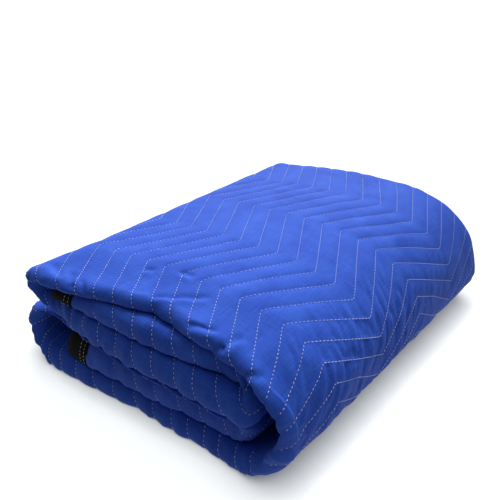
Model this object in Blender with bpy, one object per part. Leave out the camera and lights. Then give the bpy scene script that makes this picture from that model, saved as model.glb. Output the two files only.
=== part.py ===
"""A folded moving blanket: one quilted panel, folded to four plies and then coiled into six layers, and
the four strips of tape that bind its edges.

A point of the flat panel is named by u, along its length, and by a row of its folded section. The section
gives y, from the front fold to the back, and w, across the four plies. The coil turns u and w into x and z,
and the settling at the end gives the stack its sagging corners and its uneven front."""
import math

import bmesh
import bpy
import numpy as np
from mathutils import Vector

# The flat panel and its quilting, in metres
PANEL_WIDTH = 1.83
STITCH_SPACING = 0.0273          # from one zigzag line to the next, along u
STROKES_ACROSS_PLY = 5           # straight strokes of the zigzag on one ply

# The section of four plies
PLY_THICKNESS = 0.0051
PLY_GAP = 0.0003
FRONT_NOSE = 0.0145              # how far the front fold reaches past its centre
INNER_FOLD_SLACK = 0.0012        # how far the inner front fold stays behind the outer one
EDGE_OVERHANG = 0.002            # how far the two cut edges reach past the back fold's centre
PUFF_BETWEEN_LAYERS = 0.0005     # how far the quilting rises and sinks where a layer lies on the next
PUFF_OUTSIDE = 0.0016            # and where nothing presses on it
NOSE_FREEDOM = 0.8               # how free the quilting is at the front folds, from 0 to 1
SWING_FADE = 0.085               # length over which the zigzag sets in and fades
EXPOSURE_FADE = 0.04             # length over which the quilting gets its full rise

# The coil of six layers, seen from the front; x is measured from the middle of the top
LAYER_PITCH = 0.0229
INNER_LOW_START_X = -0.160       # cut end of the second layer from below
INNER_LOW_TURN_X = 0.062
LEFT_LOW_TURN_X = -0.206
WRAP_X = 0.076                   # centre of the wide turn on the right
LEFT_HIGH_TURN_X = -0.194
INNER_HIGH_TURN_X = 0.075
INNER_HIGH_END_X = -0.178        # cut end of the second layer from above

# The binding tape
BINDING_WIDTH = 0.030
TAPE_THICKNESS = 0.001
SEAM_THICKNESS = 0.0020          # of the panel where the tape is sewn over it
SEAM_STEP = 0.0025               # over which the panel swells to its full thickness

# How the stack settles
LEFT_DROP = 0.012                # of the top at its left end
RIGHT_DROP = 0.020               # of the top at its right end
TOP_RETREAT = 0.018              # of the top layer's front, in the middle
MIDDLE_REACH = 0.009             # of the third layer's front, ahead of its neighbours
BOTTOM_REACH = 0.010             # of the bottom layer's front, towards its left end
NEAR_CORNER_BULGE = 0.020        # of the wide turn's front
LEFT_SKEW = 0.008                # of the left folds, from the front to the back
RIGHT_TAPER = 0.010              # of the wide turn's upper half, from the front to the back
FRONT_WAVE = 0.0018
FLOOR_PRESS = 0.0007             # how much of the underside the floor presses flat
WAVE_LENGTH_X = 0.19
WAVE_LENGTH_Z = 0.13
THIRD_LAYER_HEIGHT = 0.56        # as a share of the top's, as are the heights below
THIRD_LAYER_SPREAD = 0.14
FLAT_TOP = (-0.12, 0.01)         # stretch of the top that hardly sags

# Where each part of the settling sets in, as (start, length) along x
LEFT_END = (-0.03, -0.17)
RIGHT_END = (0.01, 0.13)
MIDDLE_TO_LEFT = (-0.07, -0.12)
MIDDLE_TO_RIGHT = (0.06, 0.10)
NEAR_CORNER = (0.07, 0.09)
BOTTOM_TO_LEFT = (0.02, -0.10)

# And as (start, length) up the height
TOP_LAYER = (0.6, 0.35)
BOTTOM_LAYER = (0.0, 0.4)
BULGE_RISE = (0.0, 0.6)
WAVE_RISE = (0.0, 0.3)
TAPER_RISE = (0.3, 0.4)

BLUE = (0.055, 0.115, 0.62, 1.0)
BLACK = (0.012, 0.012, 0.014, 1.0)
BLUE_ROUGHNESS = 0.85
BLACK_ROUGHNESS = 0.8
SHARP_ANGLE = 50                 # in degrees, between faces that meet at an edge

PLY_PITCH = PLY_THICKNESS + PLY_GAP
HALF_PLY = PLY_THICKNESS / 2
FLOOR_CENTRE_Z = 2 * PLY_PITCH
TOP_Z = FLOOR_CENTRE_Z + 5 * LAYER_PITCH + 2 * PLY_PITCH
BACK_CENTRE_Y = PANEL_WIDTH / 4 - math.pi / 4 * (2.5 * PLY_PITCH + FRONT_NOSE - HALF_PLY)
EDGE_Y = BACK_CENTRE_Y + EDGE_OVERHANG
SEAM_Y = EDGE_Y - BINDING_WIDTH

# The coil from the lower cut end to the upper one, as (length, radius). A straight has no radius, and a
# turn is half a circle, so it needs no length
COIL = (
    (INNER_LOW_TURN_X - INNER_LOW_START_X, 0),
    (None, LAYER_PITCH / 2),
    (INNER_LOW_TURN_X - LEFT_LOW_TURN_X, 0),
    (None, LAYER_PITCH),
    (WRAP_X - LEFT_LOW_TURN_X, 0),
    (None, 2.5 * LAYER_PITCH),
    (WRAP_X - LEFT_HIGH_TURN_X, 0),
    (None, LAYER_PITCH),
    (INNER_HIGH_TURN_X - LEFT_HIGH_TURN_X, 0),
    (None, LAYER_PITCH / 2),
    (INNER_HIGH_TURN_X - INNER_HIGH_END_X, 0),
)


def coil_runs():
    """Each straight or turn as (u at its start, length, radius, x, z, heading) of the panel's middle."""
    runs = []
    u, x, z, heading = 0.0, INNER_LOW_START_X, FLOOR_CENTRE_Z + LAYER_PITCH, 1.0
    for length, radius in COIL:
        span = math.pi * radius if radius else length
        runs.append((u, span, radius, x, z, heading))
        if radius:
            z += 2 * radius * heading
            heading = -heading
        else:
            x += heading * length
        u += span
    return runs


RUNS = coil_runs()
PANEL_LENGTH = RUNS[-1][0] + RUNS[-1][1]
LINES_START = BINDING_WIDTH + SEAM_STEP
LINE_COUNT = 2 * round((PANEL_LENGTH - 2 * LINES_START) / STITCH_SPACING)
LINE_STEP = (PANEL_LENGTH - 2 * LINES_START) / LINE_COUNT
ZIGZAG_SWING = 2 * LINE_STEP     # each way from a line's middle, so that slanted lines end on the same grid
OUTER_START = RUNS[4][0]
OUTER_END = RUNS[6][0] + RUNS[6][1]


def coil_point(u, w):
    """x and z of a point that lies w outside the middle of the plies."""
    for start, span, radius, x, z, heading in RUNS:
        if u <= start + span + 1e-9:
            break
    if not radius:
        return x + heading * (u - start), z - heading * w
    angle = (u - start) / radius
    reach = radius + w
    return x + heading * reach * math.sin(angle), z + heading * (radius - reach * math.cos(angle))


def ramp(value, start, length):
    """Runs smoothly from 0 to 1 as its value goes from start over the length, which may be negative."""
    share = min(max((value - start) / length, 0.0), 1.0)
    return share * share * (3 - 2 * share)


def settle(x, y, z):
    """The shape that the soft stack takes: its ends sag, the top's front draws back and the near corner
    bulges."""
    height = z / TOP_Z
    front = 1 - y / BACK_CENTRE_Y
    left = ramp(x, *LEFT_END)
    right = ramp(x, *RIGHT_END)
    middle = 1 - ramp(x, *MIDDLE_TO_LEFT) - ramp(x, *MIDDLE_TO_RIGHT)
    third = math.exp(-((height - THIRD_LAYER_HEIGHT) / THIRD_LAYER_SPREAD) ** 2)
    retreat = TOP_RETREAT * ramp(height, *TOP_LAYER) - MIDDLE_REACH * third
    bulge = NEAR_CORNER_BULGE * ramp(x, *NEAR_CORNER) * ramp(height, *BULGE_RISE)
    reach = BOTTOM_REACH * (1 - ramp(height, *BOTTOM_LAYER)) * ramp(x, *BOTTOM_TO_LEFT)
    phase = 2 * math.pi * (x / WAVE_LENGTH_X + z / WAVE_LENGTH_Z)
    wave = FRONT_WAVE * math.sin(phase) * ramp(height, *WAVE_RISE)
    y += front * (retreat * middle - bulge - reach + wave)
    z -= max(0.0, 2 * height - 1) * (LEFT_DROP * left + RIGHT_DROP * right)
    x += LEFT_SKEW * left * (0.5 - front)
    x -= RIGHT_TAPER * right * (1 - front) * ramp(height, *TAPER_RISE)
    return x, y, max(z, FLOOR_PRESS)


def section_middle(row):
    """y, w and the outward normal of the ply's middle at a row: 0 to 1 ply D from its cut edge to the front,
    1 to 2 the outer front fold, 2 to 3 ply A to the back, 3 to 4 the back fold, 4 to 5 ply B to the front,
    5 to 6 the inner front fold and 6 to 7 ply C to its cut edge. The normal points to the blue face."""
    part = min(int(row), 6)
    share = row - part
    if part in (1, 5):
        w_radius = 1.5 * PLY_PITCH if part == 1 else 0.5 * PLY_PITCH
        y_radius = FRONT_NOSE - HALF_PLY - (0 if part == 1 else PLY_PITCH + INNER_FOLD_SLACK)
        turn = math.pi * (share - 0.5)
        y, w = -y_radius * math.cos(turn), w_radius * math.sin(turn)
        normal_y, normal_w = -math.cos(turn), math.sin(turn)
        return (y, w, normal_y, normal_w) if part == 1 else (y, -w, -normal_y, normal_w)
    if part == 3:
        turn = math.pi * share
        radius = 0.5 * PLY_PITCH
        y, w = BACK_CENTRE_Y + radius * math.sin(turn), PLY_PITCH + radius * math.cos(turn)
        return y, w, math.sin(turn), math.cos(turn)
    w = {0: -1.5, 2: 1.5, 4: 0.5, 6: -0.5}[part] * PLY_PITCH
    normal_w = {0: -1, 2: 1, 4: -1, 6: 1}[part]
    back = EDGE_Y if part in (0, 6) else BACK_CENTRE_Y
    y = back * (1 - share) if part in (0, 4) else back * share
    return y, w, 0.0, normal_w


def place(u, row, offset):
    """The place in the settled stack of a point that lies offset from the ply's middle, towards its blue
    face."""
    y, w, normal_y, normal_w = section_middle(row)
    x, z = coil_point(min(max(u, 0.0), PANEL_LENGTH), w + normal_w * offset)
    overshoot = u - min(max(u, 0.0), PANEL_LENGTH)
    heading = RUNS[0][5] if u < 0 else RUNS[-1][5]
    return settle(x + heading * overshoot, y + normal_y * offset, z)


def zigzag(row):
    """How far a stitch line has swung along u at this row, from -1 to 1. Hidden rows run straight."""
    if row <= 2:
        return 1.0
    if row >= 3:
        return -1.0
    stroke = (row - 2) * STROKES_ACROSS_PLY
    share = stroke - math.floor(stroke)
    return 1 - 2 * share if int(stroke) % 2 == 0 else 2 * share - 1


def swing(u):
    """How much of the zigzag the solid shows: all of it on the outer turn, and none past the left folds."""
    return ZIGZAG_SWING * ramp(u, OUTER_START, SWING_FADE) * ramp(u, OUTER_END, -SWING_FADE)


def exposure(u):
    """1 on the outer turn and on the left folds, where nothing presses the quilting, and 0 between layers."""
    outer_from = RUNS[5][0] - EXPOSURE_FADE
    outer_to = RUNS[7][0] + RUNS[7][1]
    return ramp(u, outer_from, EXPOSURE_FADE) * ramp(u, outer_to, -EXPOSURE_FADE)


def quilt_lines():
    """(u, rise) for every line of points along the panel, rise -1 on a stitch line and 1 on the puff
    between."""
    lines = [(0.0, 0.0), (BINDING_WIDTH / 2, 0.0), (BINDING_WIDTH, 0.0)]
    for k in range(LINE_COUNT + 1):
        u = LINES_START + k * LINE_STEP
        rise = (-1.0 if k % 2 == 0 else 1.0) if 0 < k < LINE_COUNT else 0.0
        lines.append((u, rise))
        following = 1.0 if k % 2 == 0 else -1.0
        tight = [r for r in RUNS if 0 < r[2] <= LAYER_PITCH and r[0] - LINE_STEP < u < r[0] + r[1]]
        if tight and k < LINE_COUNT:
            extra = 2 if tight[0][2] < LAYER_PITCH else 1
            for i in range(1, extra + 1):
                share = i / (extra + 1)
                lines.append((u + LINE_STEP * share, rise + (following - rise) * share))
    lines += [(PANEL_LENGTH - back, 0.0) for back in (BINDING_WIDTH, BINDING_WIDTH / 2, 0.0)]
    return lines


def plain_lines():
    """u of the lines that a face without quilting needs: every line in a turn or where the top sags, and
    every second one elsewhere."""
    chosen = []
    for u, rise in quilt_lines():
        turning = any(r[2] and r[0] - 2 * LINE_STEP < u < r[0] + r[1] + 2 * LINE_STEP for r in RUNS)
        x, z = coil_point(u, 0.0)
        sagging = z > TOP_Z / 2 and not FLAT_TOP[0] < x < FLAT_TOP[1]
        if turning or sagging or rise < 1.0:
            chosen.append(u)
    return chosen


def seam_share(u, row):
    """0 under the tape, where the panel is sewn thin, and 1 elsewhere."""
    y = section_middle(row)[0]
    inside_end = min(u, PANEL_LENGTH - u) > BINDING_WIDTH + SEAM_STEP / 2
    inside_edge = 1 <= row <= 6 or y < SEAM_Y - SEAM_STEP / 2
    return 1.0 if inside_end and inside_edge else 0.0


SEAM_ROW = BINDING_WIDTH / EDGE_Y
SWELL_ROW = (BINDING_WIDTH + SEAM_STEP) / EDGE_Y
EDGE_ROWS = (0.0, SEAM_ROW, SWELL_ROW, 1.0, 2.0, 3.0, 4.0, 5.0, 6.0, 7 - SWELL_ROW, 7 - SEAM_ROW, 7.0)
FOLD_ROWS = (1.25, 1.5, 1.75, 3.33, 3.67, 5.25, 5.5, 5.75)
BLUE_ROWS = EDGE_ROWS + (1.25, 1.5, 1.75, 3.33, 3.67, 5.5)
BLACK_ROWS = EDGE_ROWS + (1.5, 5.5)


def under_tape(u):
    """Whether a line lies where the end tape is sewn over the panel."""
    return min(u, PANEL_LENGTH - u) < BINDING_WIDTH + SEAM_STEP / 2


def black_rows(u):
    """The rows of one line's points on the black face, with more in the folds where the end tape follows
    them."""
    return sorted(set(BLACK_ROWS) | set(FOLD_ROWS)) if under_tape(u) else sorted(BLACK_ROWS)


def blue_rows(u):
    """The rows of one line's points on the blue face. A line that zigzags has a point at each of its
    corners, and more on the wide turn, where its slanted strokes are bent."""
    rows = set(BLUE_ROWS)
    if under_tape(u):
        rows |= set(FOLD_ROWS)
    if swing(u) > 0:
        bent = RUNS[5][0] - ZIGZAG_SWING < u < RUNS[5][0] + RUNS[5][1] + ZIGZAG_SWING
        parts = STROKES_ACROSS_PLY * (4 if bent else 1)
        rows |= {2 + i / parts for i in range(1, parts)}
    return sorted(rows)


def blue_offset(u, row, rise):
    """How far the blue face lies from the ply's middle."""
    if seam_share(u, row) == 0:
        return SEAM_THICKNESS / 2
    if row > 3 + 1e-9:
        return HALF_PLY
    outside = exposure(u) if row >= 2 else 0.0
    nose = NOSE_FREEDOM * math.sin(math.pi * (row - 1)) if 1 < row < 2 else 0.0
    puff = PUFF_BETWEEN_LAYERS + (PUFF_OUTSIDE - PUFF_BETWEEN_LAYERS) * max(outside, nose)
    return HALF_PLY + puff * rise


class Skin:
    """Collects points and triangles, and joins lines of points whose rows may differ."""

    def __init__(self):
        self.points = []
        self.faces = []

    def line(self, entries):
        """Adds (key, place) entries and returns them as (key, index)."""
        start = len(self.points)
        self.points += [p for _, p in entries]
        return [(key, start + i) for i, (key, _) in enumerate(entries)]

    def across(self, a, b):
        """The distance between two points."""
        return math.dist(self.points[a], self.points[b])

    def join(self, one, other, flip=False):
        """Fills the strip between two lines with triangles, taking whichever line's next key is lower. Where
        the keys are equal, the shorter diagonal is taken, so that slanted strips stay smooth on the turns."""
        i = j = 0
        while i < len(one) - 1 or j < len(other) - 1:
            if i == len(one) - 1 or j == len(other) - 1:
                take_one = i < len(one) - 1
            elif abs(one[i + 1][0] - other[j + 1][0]) < 1e-6:
                to_one = self.across(one[i + 1][1], other[j][1])
                take_one = to_one <= self.across(one[i][1], other[j + 1][1])
            else:
                take_one = one[i + 1][0] < other[j + 1][0]
            if take_one:
                corner = (one[i][1], one[i + 1][1], other[j][1])
                i += 1
            else:
                corner = (one[i][1], other[j + 1][1], other[j][1])
                j += 1
            self.faces.append(corner[::-1] if flip else corner)


def make_object(name, skin, colour, roughness):
    """Makes the mesh with its faces outwards, and its material."""
    work = bmesh.new()
    corners = [work.verts.new(Vector(p)) for p in skin.points]
    for face in skin.faces:
        work.faces.new([corners[i] for i in face])
    bmesh.ops.recalc_face_normals(work, faces=work.faces)
    mesh = bpy.data.meshes.new(name)
    work.to_mesh(mesh)
    work.free()
    mesh.shade_smooth()
    mesh.set_sharp_from_angle(angle=math.radians(SHARP_ANGLE))
    material = bpy.data.materials.new(name + "_cloth")
    material.use_nodes = True
    shader = material.node_tree.nodes["Principled BSDF"]
    shader.inputs["Base Color"].default_value = colour
    shader.inputs["Roughness"].default_value = roughness
    shader.inputs["Metallic"].default_value = 0.0
    material.diffuse_color = colour
    mesh.materials.append(material)
    thing = bpy.data.objects.new(name, mesh)
    bpy.context.scene.collection.objects.link(thing)
    return thing


def make_panel():
    """The quilted panel: a blue face and a black face over the same folds, closed along the four cut
    edges."""
    skin = Skin()
    lines = quilt_lines()
    blue = []
    for u, rise in lines:
        entries = []
        for row in blue_rows(u):
            shifted = u + swing(u) * zigzag(row)
            entries.append((row, place(shifted, row, blue_offset(u, row, rise))))
        blue.append(skin.line(entries))
    black_lines = plain_lines()
    black = []
    for u in black_lines:
        entries = []
        for row in black_rows(u):
            half = SEAM_THICKNESS / 2 if seam_share(u, row) == 0 else HALF_PLY
            entries.append((row, place(u, row, -half)))
        black.append(skin.line(entries))
    for one, other in zip(blue, blue[1:]):
        skin.join(one, other)
    for one, other in zip(black, black[1:]):
        skin.join(one, other, flip=True)
    skin.join(black[0], blue[0])
    skin.join(blue[-1], black[-1])
    for end, row in ((0, 0.0), (-1, 7.0)):
        blue_edge = [(u + swing(u) * zigzag(row), line[end][1]) for (u, _), line in zip(lines, blue)]
        black_edge = [(u, line[end][1]) for u, line in zip(black_lines, black)]
        skin.join(blue_edge, black_edge, flip=end == 0)
    return make_object("quilted_panel", skin, BLUE, BLUE_ROUGHNESS)


def tape_profile(stops):
    """The tape's section as (distance in from the panel's cut edge, distance from the ply's middle), down one
    side, round the nose and back along the inside. The stops are where it has points along its width."""
    outer = HALF_PLY
    inner = outer - TAPE_THICKNESS
    over = list(stops) + [-PLY_GAP - TAPE_THICKNESS]
    under = list(stops) + [-PLY_GAP]
    outside = [(depth, outer) for depth in over] + [(depth, -outer) for depth in reversed(over)]
    inside = [(depth, -inner) for depth in under] + [(depth, inner) for depth in reversed(under)]
    return outside + inside


def close_tube(name, rings):
    """Joins closed rings of points into one solid with flat ends."""
    skin = Skin()
    count = len(rings[0])
    indexed = [[i for _, i in skin.line(list(enumerate(ring)))] for ring in rings]
    for one, other in zip(indexed, indexed[1:]):
        for k in range(count):
            following = (k + 1) % count
            skin.faces.append((one[k], one[following], other[following]))
            skin.faces.append((one[k], other[following], other[k]))
    for ring in (indexed[0], indexed[-1]):
        for k in range(count // 2 - 1):
            a, b, c, d = ring[k], ring[k + 1], ring[count - 2 - k], ring[count - 1 - k]
            skin.faces += [(a, b, c), (a, c, d)]
    return make_object(name, skin, BLACK, BLACK_ROUGHNESS)


def make_end_binding(name, at_start):
    """Tape over a cut end, following all four plies and the folds between them."""
    rings = []
    for row in sorted((0.0, 1.0, 2.0, 3.0, 4.0, 5.0, 6.0, 7.0) + FOLD_ROWS):
        ring = []
        for depth, offset in tape_profile((BINDING_WIDTH - PLY_GAP, BINDING_WIDTH / 2)):
            u = depth if at_start else PANEL_LENGTH - depth
            ring.append(place(u, row, offset))
        rings.append(ring)
    return close_tube(name, rings)


def make_edge_binding(name, row_at_edge):
    """Tape over a long cut edge at the back, round the whole coil between the two end tapes."""
    inward = 1 if row_at_edge == 0 else -1
    rings = []
    for u in plain_lines():
        if BINDING_WIDTH <= u <= PANEL_LENGTH - BINDING_WIDTH:
            ring = []
            for depth, offset in tape_profile((BINDING_WIDTH - PLY_GAP,)):
                y, w, _, normal_w = section_middle(row_at_edge + inward * max(depth, 0.0) / EDGE_Y)
                x, z = coil_point(u, w + normal_w * offset)
                ring.append(settle(x, y + max(-depth, 0.0), z))
            rings.append(ring)
    return close_tube(name, rings)


def centre_on_floor(things):
    """Puts the middle of the stack's outline at the origin and its underside on the floor."""
    corners = np.array([v.co for thing in things for v in thing.data.vertices])
    low, high = corners.min(axis=0), corners.max(axis=0)
    shift = Vector((-(low[0] + high[0]) / 2, -(low[1] + high[1]) / 2, -low[2]))
    for thing in things:
        for vertex in thing.data.vertices:
            vertex.co += shift


for old in list(bpy.data.objects):
    bpy.data.objects.remove(old)
pieces = [
    make_panel(),
    make_end_binding("lower_end_binding", True),
    make_end_binding("upper_end_binding", False),
    make_edge_binding("outer_edge_binding", 0.0),
    make_edge_binding("inner_edge_binding", 7.0),
]
centre_on_floor(pieces)
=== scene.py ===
import math
from collections import namedtuple

import bpy
import numpy as np
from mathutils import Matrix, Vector, noise


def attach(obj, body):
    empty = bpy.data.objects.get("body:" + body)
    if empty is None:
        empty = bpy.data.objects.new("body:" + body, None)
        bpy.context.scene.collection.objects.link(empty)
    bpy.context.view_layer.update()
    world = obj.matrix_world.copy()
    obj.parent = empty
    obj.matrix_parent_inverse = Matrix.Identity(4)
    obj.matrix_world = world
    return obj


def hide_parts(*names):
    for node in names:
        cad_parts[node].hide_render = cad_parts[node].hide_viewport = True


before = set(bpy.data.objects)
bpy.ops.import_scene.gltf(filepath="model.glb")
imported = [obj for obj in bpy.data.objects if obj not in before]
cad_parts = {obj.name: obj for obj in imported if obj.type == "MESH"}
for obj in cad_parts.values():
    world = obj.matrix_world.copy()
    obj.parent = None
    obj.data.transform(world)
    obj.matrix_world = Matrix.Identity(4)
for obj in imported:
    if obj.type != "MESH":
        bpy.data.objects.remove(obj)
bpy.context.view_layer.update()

# The viewpoint: a normal lens at arm's length, looking down on the near right corner, where the wide
# turn and the open fronts of the layers both show.
AZIMUTH = math.radians(38.46)
ELEVATION = math.radians(27.35)
DISTANCE = 0.745
AIM = Vector((0.017, -0.0546, 0.138))
FOCAL_MM, SENSOR_MM = 47.4, 36.0

lens = bpy.data.cameras.new("camera")
lens.lens = FOCAL_MM
lens.sensor_width = SENSOR_MM
camera = bpy.data.objects.new("camera", lens)
bpy.context.scene.collection.objects.link(camera)
outward = Vector((
    math.sin(AZIMUTH) * math.cos(ELEVATION),
    -math.cos(AZIMUTH) * math.cos(ELEVATION),
    math.sin(ELEVATION),
))
camera.location = AIM + outward * DISTANCE
camera.rotation_euler = (-outward).to_track_quat("-Z", "Y").to_euler()
bpy.context.scene.camera = camera


# The quilted panel: a blue woven face, a layer of fibre padding and a black woven back, sewn through
# with white zigzag lines. It is one piece, 1.83 m wide, folded twice to four plies and then coiled.
PANEL_WIDTH = 1.83
PLY_THICKNESS = 0.0051
PLY_PITCH = 0.0054
HALF_PLY = PLY_THICKNESS / 2
OUTER_PLY_W = 1.5 * PLY_PITCH
FRONT_NOSE = 0.0145
INNER_FOLD_SLACK = 0.0012
BACK_CENTRE_Y = PANEL_WIDTH / 4 - math.pi / 4 * (2.5 * PLY_PITCH + FRONT_NOSE - HALF_PLY)
EDGE_OVERHANG = 0.002
EDGE_Y = BACK_CENTRE_Y + EDGE_OVERHANG
# The coil from the lower cut end to the upper one, through the middle of the plies: (length, 0) is a
# straight run and (None, radius) a turn. The names after it are places in this list.
LAYER_PITCH = 0.0229
FIRST_X = -0.160
FIRST_Z = 2 * PLY_PITCH + LAYER_PITCH
TOP_Z = 4 * PLY_PITCH + 5 * LAYER_PITCH
COIL = (
    (0.222, 0),
    (None, LAYER_PITCH / 2),
    (0.268, 0),
    (None, LAYER_PITCH),
    (0.282, 0),
    (None, 2.5 * LAYER_PITCH),
    (0.270, 0),
    (None, LAYER_PITCH),
    (0.269, 0),
    (None, LAYER_PITCH / 2),
    (0.253, 0),
)
FIRST_TURN, LOW_LEFT_TURN, BOTTOM_RUN, WIDE_TURN, TOP_RUN = 1, 3, 4, 5, 6
LEFT_TURN, UNDER_RUN, LAST_TURN, LAST_RUN = 7, 8, 9, 10
# From the coil's origin to the middle of the blanket.
TO_MIDDLE = (0.04918, -0.20521, -0.0007)

Run = namedtuple("Run", "start span radius x z heading turned")


def coil_runs():
    """Every run and turn, with the u, x, z and heading at its start and the angle turned before it."""
    runs = []
    u, x, z, heading, turned = 0.0, FIRST_X, FIRST_Z, 1.0, 0.0
    for length, radius in COIL:
        span = math.pi * radius if radius else length
        runs.append(Run(u, span, radius, x, z, heading, turned))
        if radius:
            z += 2 * radius * heading
            heading = -heading
            turned += math.pi
        else:
            x += heading * length
        u += span
    return runs


RUNS = coil_runs()
PANEL_LENGTH = RUNS[-1].start + RUNS[-1].span
WIDE_FROM, WIDE_TO = RUNS[WIDE_TURN].start, RUNS[TOP_RUN].start
LOW_LEFT_FROM, LOW_LEFT_TO = RUNS[LOW_LEFT_TURN].start, RUNS[BOTTOM_RUN].start
LEFT_FROM, LEFT_TO = RUNS[LEFT_TURN].start, RUNS[UNDER_RUN].start
TOUCHING = 1e-9


def coil(u, w):
    """x and z of points that lie w outside the middle of the plies."""
    x, z = np.zeros_like(u), np.zeros_like(u)
    for run in RUNS:
        here = (u >= run.start - TOUCHING) & (u <= run.start + run.span + TOUCHING)
        past, out = u[here] - run.start, w[here]
        if run.radius:
            angle = past / run.radius
            x[here] = run.x + run.heading * (run.radius + out) * np.sin(angle)
            z[here] = run.z + run.heading * (run.radius - (run.radius + out) * np.cos(angle))
        else:
            x[here] = run.x + run.heading * past
            z[here] = run.z - run.heading * out
    return x, z


def ease(value):
    """Runs smoothly from 0 to 1 while its value does."""
    value = np.clip(value, 0.0, 1.0)
    return value * value * (3 - 2 * value)


def ramp(value, start, length):
    """Rises smoothly from 0 at the start to 1 a length further on."""
    return ease((value - start) / length)


# The soft stack settles: its top falls towards both ends and least at the back, and the far right end
# draws in. Each pair is where a change starts and over what length it grows.
SETTLED_LEFT, SETTLED_RIGHT, SETTLED_BACK = (0.03, 0.17), (0.01, 0.13), (-0.22, 0.10)
LEFT_FALL, RIGHT_FALL, BACK_LIFT = 0.012, 0.020, 0.005
LEFT_SHEAR, FAR_END_DRAWN_IN = 0.008, 0.020
DRAWN_HEIGHT = (0.1, 0.5)
LOWEST_Z = 0.0007


def settle(x, y, z):
    """x and z of points once the soft stack has sunk under its own weight."""
    height = z / TOP_Z
    front = 1 - y / BACK_CENTRE_Y
    left, right = ramp(-x, *SETTLED_LEFT), ramp(x, *SETTLED_RIGHT)
    raised = BACK_LIFT * (1 - front) * ramp(x, *SETTLED_BACK)
    z = z + np.maximum(0, 2 * height - 1) * (raised - LEFT_FALL * left - RIGHT_FALL * right)
    drawn = FAR_END_DRAWN_IN * right * (1 - front) * ramp(height, *DRAWN_HEIGHT)
    x = x + LEFT_SHEAR * left * (0.5 - front) - drawn
    return x, np.maximum(z, LOWEST_Z)


# Each front fold droops: its face leans out from the top down to a crisp crease near its lower side. The
# creases don't line up. FRONT_Y gives each straight run's crease at the places along x in FRONT_X.
FRONT_X = (-0.140, -0.100, -0.050, 0.0, 0.050, 0.100, 0.130, 0.160, 0.190)
FRONT_Y = {
    0: (-0.219, -0.219, -0.217, -0.215, -0.210, -0.206, -0.205, -0.205, -0.205),
    2: (-0.208, -0.213, -0.220, -0.221, -0.220, -0.218, -0.218, -0.218, -0.218),
    BOTTOM_RUN: (-0.226, -0.226, -0.220, -0.217, -0.216, -0.216, -0.218, -0.222, -0.216),
    TOP_RUN: (-0.220, -0.213, -0.202, -0.193, -0.200, -0.205, -0.207, -0.212, -0.203),
    UNDER_RUN: (-0.210, -0.217, -0.223, -0.223, -0.222, -0.221, -0.221, -0.219, -0.219),
    LAST_RUN: (-0.213, -0.213, -0.213, -0.216, -0.210, -0.201, -0.199, -0.199, -0.199),
}
EVEN_FRONT_Y = TO_MIDDLE[1] - FRONT_NOSE
# Which side of each run its crease is on: -1 where the lowest ply of the fold is D, 1 where it is A.
CREASE_SIDE = {0: 1, 2: -1, BOTTOM_RUN: 1, TOP_RUN: -1, UNDER_RUN: 1, LAST_RUN: -1}
CREASE_HEIGHT = 0.8
CREASE_CROSSES = 0.3
FOLD_POWER, FOLD_ROOT = 1.6, 0.6
# The third layer from below is pressed thin at the front, and its neighbours fill the room.
EVEN_LEVELS = tuple(layer * LAYER_PITCH for layer in range(7))
FRONT_LEVELS = (0.0, 0.022, 0.057, 0.062, 0.091, 0.114, 6 * LAYER_PITCH - 0.008)
PRESSED_Y = 0.07
# The wide turn's plies close up at its front, and the top layer's beside it do so less.
CLOSING_TURN, CLOSING_X, CLOSING_Y = (0.22, 0.35), (0.12, 0.03), 0.055
CLOSED_ON_TURN, CLOSED_ON_TOP = 0.5, 0.36


def run_share(u, run):
    """1 on a straight run, falling to 0 over the turns on both sides of it."""
    share = np.ones_like(u)
    if run > 0:
        before = RUNS[run - 1]
        share = np.minimum(share, np.clip((u - before.start) / before.span, 0, 1))
    if run < LAST_RUN:
        after = RUNS[run + 1]
        share = np.minimum(share, np.clip((RUNS[run + 2].start - u) / after.span, 0, 1))
    return share


def front_line(u, x):
    """y of the front crease."""
    return sum(run_share(u, run) * np.interp(x, FRONT_X, line) for run, line in FRONT_Y.items())


def crease_side(u):
    """-1 where the crease is on ply D's side of the fold, 1 where it is on ply A's."""
    side = sum(run_share(u, run) * value for run, value in CREASE_SIDE.items())
    turned = (u - WIDE_FROM) / RUNS[WIDE_TURN].span
    return np.where((turned > 0) & (turned < 1), 1 - 2 * ease(turned / CREASE_CROSSES), side)


def closing(u, x):
    """How far the wide turn's plies close up at its front, from 0 to 1. It fades into the top layer."""
    turned = (u - WIDE_FROM) / RUNS[WIDE_TURN].span
    amount = np.where(turned < 1, CLOSED_ON_TURN * ramp(turned, *CLOSING_TURN), CLOSED_ON_TOP)
    return amount * ramp(x, *CLOSING_X)


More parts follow.
